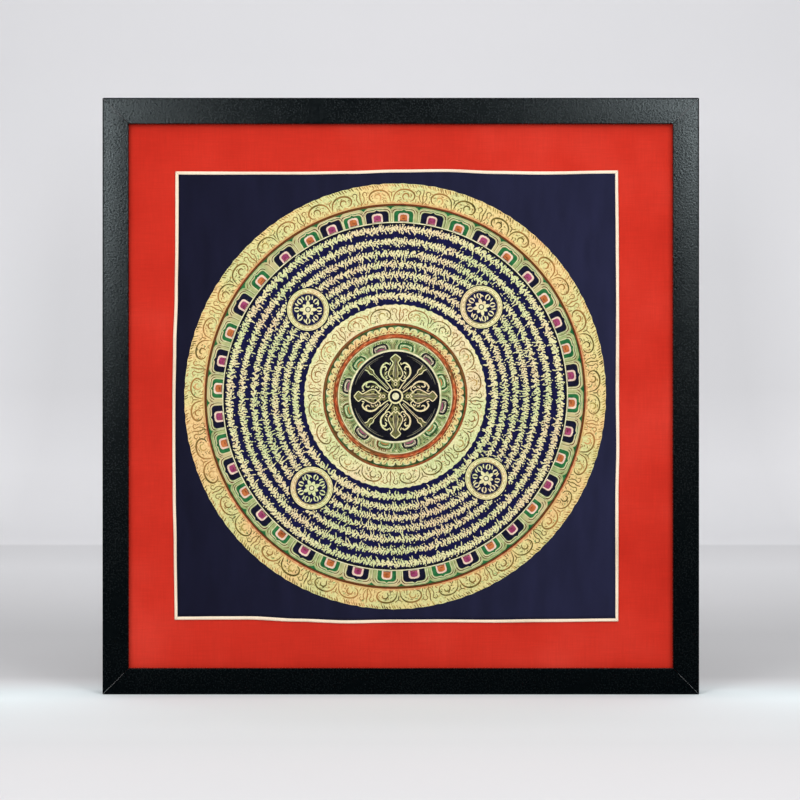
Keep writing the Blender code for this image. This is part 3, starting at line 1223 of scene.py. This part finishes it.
# rings between the inner gold ring and the dark centre
heartRings = {
    "petals": 12, "turnOffset": 77.5, "petalMiddle": 46.2,
    "scallops": 56, "scallopRadius": 60.8, "beads": 104, "beadRadius": 58.2,
    "edgeDashes": 90, "edgeRadius": 56.9, "redDashes": 130, "redInner": 53.7, "redOuter": 56.2,
    "leaves": 190, "leafInner": 50.2, "leafOuter": 51.6,
    "goldInner": 56.8, "goldOuter": 64.2, "greenInner": 42.6, "greenOuter": 53.2,
    "darkInner": 0.6, "darkOuter": 41.3,
    # flat lines: paint, inner and outer radius, rise
    "outerLines": [("rust", 65.0, 66.9, 0.15), ("deepGreen", 63.7, 65.1, 0.13)],
    "redLines": [("rust", 53.0, 57.4, 0.12), ("vermilion", 54.4, 56.0, 0.14)],
    "paleLines": [("creamLines", 52.2, 52.7, 0.18), ("creamLines", 41.2, 42.6, 0.2)],
    # faint arcs on the dark: radius, reach and width
    "arcs": [(38.6, 1.0, 1.0), (37.2, 0.7, 0.6)],
}


def paintScallops(rng):
    ring = heartRings
    paintBands(ring["outerLines"], 540)
    band("goldRings", ring["goldInner"], ring["goldOuter"], 0.08, 540, 2)
    half = math.pi * ring["scallopRadius"] / ring["scallops"]
    wide = 2 * half
    for index in range(ring["scallops"]):
        angle = fullTurn * (index + rng.uniform(-0.12, 0.12)) / ring["scallops"]
        place = ringPlacer(ring["scallopRadius"], angle)
        fill = [(-2.9, 3.6), (-1.7, 2.9), (-0.6, 0.6), (0.0, -0.2), (0.6, 0.6), (1.7, 2.9), (2.9, 3.6)]
        blob("sageGreen" if index % 3 else "deepGreen", placed(place, fill), 0.12)
        lobe = smooth([(0.2, 0.0), (0.9, 2.0), (half, 2.9), (wide - 0.9, 2.0), (wide - 0.2, 0.0)], 2)
        rim = "umber" if index % 2 else "creamLines"
        brush(rim, place, lobe, 0.7, 0.19, 0.6, 0.5)
        leaf("rust", place, (1.6, -0.4), 1.2, 2.2, -0.9, 0.7, 0.17)
        leaf("orange", place, (0.4, -1.4), rng.uniform(-0.3, 0.3), 2.4, 0.9, 0.9, 0.16)
    for bead in range(ring["beads"]):
        place = ringPlacer(ring["beadRadius"], fullTurn * bead / ring["beads"])
        path = [(-1.2, rng.uniform(-0.4, 0.3)), (0.0, 0.5), (rng.uniform(0.6, 1.3), rng.uniform(-0.4, 0.3))]
        stroke("rust" if bead % 3 else "umber", placed(place, path), rng.uniform(0.7, 1.5), 0.2)


# one petal lying along the ring, with bars of colour, and strokes that fan away from it
def paintHeartPetal(place, isDark, rng):
    ink = "inkBlack" if isDark else "deepGreen"
    core = "magenta" if isDark else "orange"
    pale = "blush" if isDark else "creamLines"
    field = [(-6.3, -2.9), (-6.6, -0.2), (-5.2, 2.2), (0.0, 2.9), (5.2, 2.2), (6.6, -0.2), (6.3, -2.9)]
    blob("slate" if isDark else "sageGreen", placed(place, field), 0.12)
    stroke(ink, placed(place, smooth(field, 2)), [rng.uniform(1.3, 2.3) for step in range(13)], 0.19)
    for out, colour, width in ((0.9, "creamLines", 1.0), (-0.4, ink, 0.8), (-1.7, core, 1.3)):
        bar = [(-4.0, out - 0.9), (-1.8, out + 0.1), (1.8, out + 0.1), (4.0, out - 0.9)]
        brush(colour, place, bar, width, 0.23, 0.6, 0.6)
    for side in (-1, 1):
        bracket = [(side * 5.2, -2.2), (side * 5.0, 0.2), (side * 3.8, 1.2)]
        stroke(pale, placed(place, bracket), 0.7, 0.24)
    for side in (-1, 1):
        for line in range(5):
            start = (side * (7.6 + line * 1.0), -3.0)
            reach = 4.6 + line * 0.85 + rng.uniform(-0.6, 0.6)
            path = [start, (start[0] - side * 0.3, -3.0 + reach * 0.5),
                    (start[0] - side * 2.4, -3.0 + reach)]
            colour = (ink, "creamLines", "sageGreen", ink, "olive")[line]
            brush(colour, place, path, rng.uniform(0.7, 1.0), 0.17 + 0.01 * line, 0.6, 0.5)
    for line in range(-2, 3):
        colour = "deepGreen" if line % 2 else ink
        heading = math.pi / 2 + line * 0.5
        leaf(colour, place, (line * 2.1, 3.7), heading, rng.uniform(1.8, 2.9), rng.uniform(-1, 1), 0.8, 0.17)


def paintHeartRings():
    ring = heartRings
    rng = random.Random(15)
    paintScallops(rng)
    paintBands(ring["redLines"], 540)
    for step in range(ring["edgeDashes"]):
        place = ringPlacer(ring["edgeRadius"], fullTurn * step / ring["edgeDashes"])
        dash = [(-1.4, 0.1), (0.0, 0.3), (rng.uniform(0.6, 1.4), 0.0)]
        stroke("umber" if step % 2 else "orange", placed(place, dash), rng.uniform(0.7, 1.5), 0.18)
    for step in range(ring["redDashes"]):
        radius = rng.uniform(ring["redInner"], ring["redOuter"])
        place = ringPlacer(radius, fullTurn * step / ring["redDashes"])
        dash = [(-2.0, 0.0), (0.0, rng.uniform(-0.3, 0.3)), (rng.uniform(0.8, 2.6), 0.0)]
        colour = ("oxide", "apricot", "oxide", "rust", "apricot")[rng.randrange(5)]
        brush(colour, place, dash, rng.uniform(0.6, 1.1), 0.17, 0.5, 0.4)
    band("paleGreen", ring["greenInner"], ring["greenOuter"], 0.08, 540, 2)
    for index in range(ring["petals"]):
        angle = math.radians(ring["turnOffset"]) + fullTurn * index / ring["petals"]
        paintHeartPetal(ringPlacer(ring["petalMiddle"], angle), index % 2 == 1, rng)
    for step in range(ring["leaves"]):
        radius = rng.uniform(ring["leafInner"], ring["leafOuter"])
        place = ringPlacer(radius, fullTurn * step / ring["leaves"])
        colour = ("sageGreen", "deepGreen", "creamLines", "leafGreen")[rng.randrange(4)]
        heading = rng.uniform(0.7, 2.4)
        leaf(colour, place, (0.0, -1.6), heading, rng.uniform(1.4, 2.8), rng.uniform(-1, 1), 0.85, 0.16)
    paintBands(ring["paleLines"], 540)
    band("inkBlack", ring["darkInner"], ring["darkOuter"], 0.08, 360, 6)
    for quarter in range(4):
        middle = math.pi / 4 + quarter * math.pi / 2
        for radius, reach, width in ring["arcs"]:
            path = arcPath(radius, middle - reach / 2, middle + reach / 2, 16)
            stroke("slate", path, taper(17, width), 0.13)


# crossed double thunderbolt; one arm pointing up, from the hub outwards
thunderbolt = {
    "shiftX": 0.4, "shiftZ": 0.0, "tip": 38.4,
    # the blade's widths at their places from the hub
    "bladeOut": [9.0, 13.0, 16.5, 20.0, 24.0, 28.0, 31.0, 34.2, 38.4],
    "bladeWidth": [3.0, 9.0, 11.5, 13.0, 11.0, 6.5, 4.4, 8.6, 0.6],
    # dark eyes: place, radius and corners
    "eyes": [(3.7, 18.6, 1.3, 9), (3.3, 23.4, 0.8, 8), (4.4, 12.2, 1.0, 8)],
    "spurs": [17.8, 21.6],
}


def paintArm(place):
    look = thunderbolt
    blade = [(0.0, out) for out in look["bladeOut"]]
    stroke("olive", placed(place, blade), look["bladeWidth"], 0.16)
    for side in (-1, 1):
        def at(along, out):
            return place(side * along, out)

        outline = smooth([(2.6, 15.6), (5.2, 17.6), (6.6, 20.4), (5.6, 24.0), (3.4, 28.0), (2.2, 31.0),
                          (4.6, 34.2), (2.4, 36.6), (0.0, look["tip"])], 2)
        stroke("leafGold", placed(at, outline), 1.15, 0.27)
        lotus = smooth([(3.6, 6.4), (6.0, 10.4), (9.4, 14.6), (6.2, 14.0),
                        (4.0, 16.0), (1.4, 13.6), (0.0, 15.6)], 2)
        stroke("leafGold", placed(at, lotus), 1.1, 0.26)
        prong = smooth([(8.6, 14.8), (12.4, 18.6), (13.6, 23.2), (12.0, 28.0), (8.6, 30.6), (6.0, 29.4)], 3)
        brush("leafGold", at, prong, 1.9, 0.27, 0.7, 0.45)
        curl = smooth([(11.8, 26.4), (9.6, 27.4), (8.4, 25.4), (9.6, 23.8)], 2)
        brush("leafGold", at, curl, 1.5, 0.26, 0.7, 0.4)
        inner = smooth([(8.2, 16.2), (10.2, 19.6), (10.0, 23.0)], 2)
        brush("olive", at, inner, 1.0, 0.2)
        leaf("leafGold", at, (5.6, 28.6), 2.3, 2.8, -0.8, 1.2, 0.25)
        for out in look["spurs"]:
            spur = smooth([(7.2 + (out - 17.8) * 0.5, out - 1.6), (9.0, out), (7.4, out + 1.2)], 2)
            brush("leafGold", at, spur, 1.2, 0.25, 0.7, 0.4)
        leaf("olive", at, (1.0, 7.2), 1.1, 6.4, -0.3, 1.6, 0.17)
        for along, out, radius, corners in look["eyes"]:
            disc("inkBlack", at(along, out), radius, 0.24, 0.0, corners, 0.1)
        vein = [(1.6, 17.6), (2.4, 20.6), (1.8, 24.6), (1.1, 29.0)]
        brush("leafGold", at, vein, 0.8, 0.24)
    brush("slate", place, [(0.0, 16.6), (0.0, 24.0), (0.0, 34.0)], 2.2, 0.26, 0.7, 0.5)
    stroke("umber", placed(place, [(0.5, 18.0), (0.4, 24.0), (0.5, 31.0)]), 0.5, 0.29)
    disc("leafGold", place(0.0, 11.4), 1.7, 0.22, 0.03, 10)
    disc("inkBlack", place(0.0, 11.4), 0.9, 0.27, 0.0, 8, 0.1)


def paintSpoke(place):
    for side in (-1, 1):
        path = [(side * 0.7, 9.5), (side * 0.5, 20.0), (side * 0.9, 30.0)]
        stroke("leafGold", placed(place, path), 0.6, 0.19)
        petal = smooth([(side * 0.6, 28.5), (side * 2.2, 31.6), (side * 1.6, 34.6), (side * 2.8, 37.4)], 2)
        brush("leafGold", place, petal, 1.2, 0.22, 0.6, 0.6)
    stroke("olive", placed(place, [(0.0, 30.0), (0.0, 34.0), (0.0, 38.6)]), [1.6, 2.6, 2.0], 0.16)


def paintThunderbolt():
    centre = (thunderbolt["shiftX"], thunderbolt["shiftZ"])
    for quarter in range(4):
        paintSpoke(freePlacer(*centre, quarter * math.pi / 2 + math.pi / 4))
        paintArm(freePlacer(*centre, quarter * math.pi / 2))
    disc("leafGold", centre, 7.0, 0.24, 0.04, 32)
    disc("inkBlack", centre, 5.4, 0.3, 0.0, 28, 0.1)
    disc("creamLines", centre, 3.2, 0.36, 0.08, 20, 0.1)


# layers of paint, in the order they are made into pieces
layerOrder = [
    "goldRings", "scrollLines", "scrollLight", "creamLines", "leafGold", "vineInner", "vineMiddle",
    "vineOuter", "vineKnots", "innerBlue", "inkBlack", "leafGreen", "deepGreen", "sageGreen",
    "paleGreen", "midnight", "magenta", "orange", "vermilion", "rust", "oxide", "apricot", "blush",
    "olive", "umber", "slate",
]
# layers that take a paint of another name
sharedPaint = {
    "goldRings": "goldPaint", "vineInner": "leafGold", "vineMiddle": "leafGold",
    "vineOuter": "leafGold", "vineKnots": "umber",
}


def makePainting():
    paintOuterRing()
    paintPetalRing()
    paintVineRows()
    paintMedallions()
    paintInnerRing()
    paintHeartRings()
    paintThunderbolt()
    materials = {name: makePaintMaterial(name) for name in paints}
    materials["goldPaint"] = makeGoldMaterial("goldPaint", goldPaint)
    materials["leafGold"] = makeGoldMaterial("leafGold", leafGold)
    pieces = []
    for name in layerOrder:
        paint = layers[name]
        pieceName = "paint" + name[0].upper() + name[1:]
        material = materials[sharedPaint.get(name, name)]
        piece = addPiece(pieceName, paint["points"], paint["faces"], material, False)
        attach(piece, "root")
        pieces.append(piece)
        triangles = sum(len(face) - 2 for face in paint["faces"])
        print("painted", pieceName, triangles, "triangles")
    return pieces


# stage: pale floor and wall, with painted shade and painted light in soft zones of their colour, metres
stage = {
    "wallY": 3.3,
    "coveRadius": 1.0,
    "shadeLine": 2.05,
    "halfWidth": 5.0,
    "wallHeight": 4.0,
    "frontY": -5.0,
    # the amounts below are painted shade and painted light, set into the stage's colour
    "besideShade": 0.1,
    "frontShade": 0.21,
    "paintedCoolTint": (0.93, 1.0, 1.0),    # takes back the red the cloth throws on the floor
    "paintedWallLight": 0.13,
    "topShade": 0.05,
    "roomShade": 0.12,
    "footShade": 0.23,
    # where each painted shade and painted light starts and ends, in metres
    "besideFade": (0.8, 0.98),
    "lowFade": (0.6, 0.95),
    "frontFade": (-0.3, -0.05),
    "lineFade": 0.03,
    "liftFade": (0.12, 0.3),
    "topFade": (0.6, 1.1),
    "roomFade": (-0.06, 0.1),
    "footFade": (-0.04, 0.12),
    "footEnd": (0.5, 1.5),
    "coolFade": (-0.4, -0.06),
    "coolEnd": (0.0, 0.08),
    "roughness": 0.9,
    "specular": 0.1,
}


def makeStage():
    material, tree, shader = startMaterial("paleStagePaintedShade")
    place = objectPlace(tree)
    clouds = addNoise(tree, place, 1.2, 2.0)
    colour = addRamp(tree, clouds, [(0.3, tone(251, 251, 253)), (0.7, tone(254, 253, 255))])
    split = splitPlace(tree, place)
    depth, height = split["Y"], split["Z"]
    aside = addMath(tree, "ABSOLUTE", split["X"])
    # painted shade: darker near the frame low down, farther out in front, behind the frame, just behind its
    # foot and at the top of the wall; painted light lifts the far floor and the low wall
    beside = addRange(tree, aside, 1.0, 0.0, *stage["besideFade"])
    low = addRange(tree, height, 1.0, 0.0, *stage["lowFade"])
    shade = multiply(tree, multiply(tree, beside, low), -stage["besideShade"])
    front = addRange(tree, depth, 1.0 - stage["frontShade"], 1.0, *stage["frontFade"])
    line, fade = stage["shadeLine"], stage["lineFade"]
    paintedFarLight = addRange(tree, depth, 0.0, stage["paintedWallLight"], line - fade, line + fade)
    paintedFarLight = multiply(tree, paintedFarLight, addRange(tree, height, 1.0, 0.2, *stage["liftFade"]))
    top = addRange(tree, height, 0.0, -stage["topShade"], *stage["topFade"])
    room = addRange(tree, depth, 0.0, -stage["roomShade"], *stage["roomFade"])
    foot = addRange(tree, depth, 0.0, -stage["footShade"], *stage["footFade"])
    foot = multiply(tree, foot, addRange(tree, depth, 1.0, 0.0, *stage["footEnd"]))
    for part in (front, paintedFarLight, room, foot, top):
        shade = addMath(tree, "ADD", shade, part)
    colour = shadeBy(tree, colour, shade)
    # painted light: a cool tint just in front of the foot takes back the red light the cloth throws on the
    # floor
    paintedTintZone = multiply(tree, addRange(tree, depth, 0.0, 1.0, *stage["coolFade"]),
                        addRange(tree, depth, 1.0, 0.0, *stage["coolEnd"]))
    colour = shadeBy(tree, colour, stage["paintedCoolTint"] + (1.0,), paintedTintZone)
    finishMaterial(tree, shader, colour, stage["roughness"], None, stage["specular"])
    profile = [(stage["frontY"], 0.0), (0.0, 0.0)]
    radius = stage["coveRadius"]
    for step in range(25):
        angle = math.pi / 2 * step / 24
        y = stage["wallY"] - radius + radius * math.sin(angle)
        profile.append((y, radius - radius * math.cos(angle)))
    profile.append((stage["wallY"], stage["wallHeight"]))
    points, faces = [], []
    for y, z in profile:
        points += [(-stage["halfWidth"], y, z), (stage["halfWidth"], y, z)]
    for index in range(len(profile) - 1):
        corner = 2 * index
        faces.append((corner, corner + 1, corner + 3, corner + 2))
    sweep = addPiece("stageSweep", points, faces, material)
    sweep.visible_glossy = False


# lights: place, aim, width and height in metres and power in watts
objectMiddle = (0.0, 0.0, 0.27)
lights = {
    "keyLeft": {"place": (-1.6, -2.4, 1.6), "aim": objectMiddle, "size": (1.4, 1.4), "power": 32.0},
    "keyRight": {"place": (1.6, -2.4, 1.6), "aim": objectMiddle, "size": (1.4, 1.4), "power": 35.5},
    "topFront": {"place": (0.0, -1.7, 2.9), "aim": (0.0, 0.6, 0.4), "size": (2.0, 1.2), "power": 26.0},
    "overhead": {"place": (0.0, -0.1, 2.3), "aim": (0.0, -0.099, 0.0), "size": (3.0, 2.0), "power": 14.0},
    "wallWash": {"place": (0.0, 0.9, 2.7), "aim": (0.0, 2.4, 0.0), "size": (4.0, 0.8), "power": 30.0},
    "softLeft": {"place": (-0.9, -2.3, 0.7), "aim": objectMiddle, "size": (0.9, 0.9), "power": 6.0},
    "softRight": {"place": (0.9, -2.3, 0.7), "aim": objectMiddle, "size": (0.9, 0.9), "power": 6.0},
    "glintLeft": {"place": (-0.78, -2.0, 0.8), "aim": (-0.25, 0.0, 0.5), "size": (0.36, 0.6), "power": 6.8},
    "glintRight": {"place": (0.74, -2.0, 0.94), "aim": (0.25, 0.0, 0.5), "size": (0.46, 0.52), "power": 7.9},
}


# the glints only show as highlights and the others only light; colours of glints, lamps and room
lightColours = {"glint": (0.84, 0.97, 1.0), "lamp": (1.0, 1.0, 1.0), "room": (0.93, 0.95, 1.0, 1.0)}
roomStrength = 0.22


def aimAt(thing, place, aim):
    direction = [b - a for a, b in zip(place, aim)]
    length = math.sqrt(sum(part * part for part in direction))
    thing.location = place
    pitch = math.acos(-direction[2] / length)
    thing.rotation_euler = (pitch, 0.0, math.atan2(-direction[0], direction[1]))


def makeLights():
    for name, look in lights.items():
        light = bpy.data.lights.new(name, "AREA")
        light.shape = "RECTANGLE"
        light.size, light.size_y = look["size"]
        light.energy = look["power"]
        lamp = bpy.data.objects.new(name, light)
        bpy.context.collection.objects.link(lamp)
        aimAt(lamp, look["place"], look["aim"])
        lamp.visible_camera = False
        isGlint = name.startswith("glint")
        light.color = lightColours["glint" if isGlint else "lamp"]
        lamp.visible_diffuse = not isGlint
        lamp.visible_glossy = isGlint
    world = bpy.data.worlds.new("softRoom")
    bpy.context.scene.world = world
    world.use_nodes = True
    background = world.node_tree.nodes["Background"]
    background.inputs["Color"].default_value = lightColours["room"]
    background.inputs["Strength"].default_value = roomStrength
    world.cycles_visibility.glossy = False


# camera: level, straight on; the picture is 800 pixels wide at 0.918 mm each
view = {
    "distance": 2.0,
    "pixel": 0.000918,
    "pixels": 800,
    "frameMiddle": (400.8, 396.1),
    "sensor": 36.0,
}


def makeCamera():
    camera = bpy.data.cameras.new("camera")
    camera.sensor_width = view["sensor"]
    camera.lens = view["sensor"] * view["distance"] / (view["pixel"] * view["pixels"])
    camera.dof.use_dof = False
    holder = bpy.data.objects.new("camera", camera)
    bpy.context.collection.objects.link(holder)
    middle = view["pixels"] / 2
    x = (middle - view["frameMiddle"][0]) * view["pixel"]
    z = midZ + (view["frameMiddle"][1] - middle) * view["pixel"]
    holder.location = (x, frontY - view["distance"], z)
    holder.rotation_euler = (math.pi / 2, 0.0, 0.0)
    bpy.context.scene.camera = holder


bpy.context.scene.view_settings.view_transform = "Standard"
makeCamera()
makeStage()
makeLights()
print("stage, lights and camera placed")
makeFrame()
print("frame made")
clothPiece = makeMountCloth()
canvasPiece = makeCanvas()
edgingPieces = makeEdgings()
print("cloth made")
paintedPieces = makePainting()
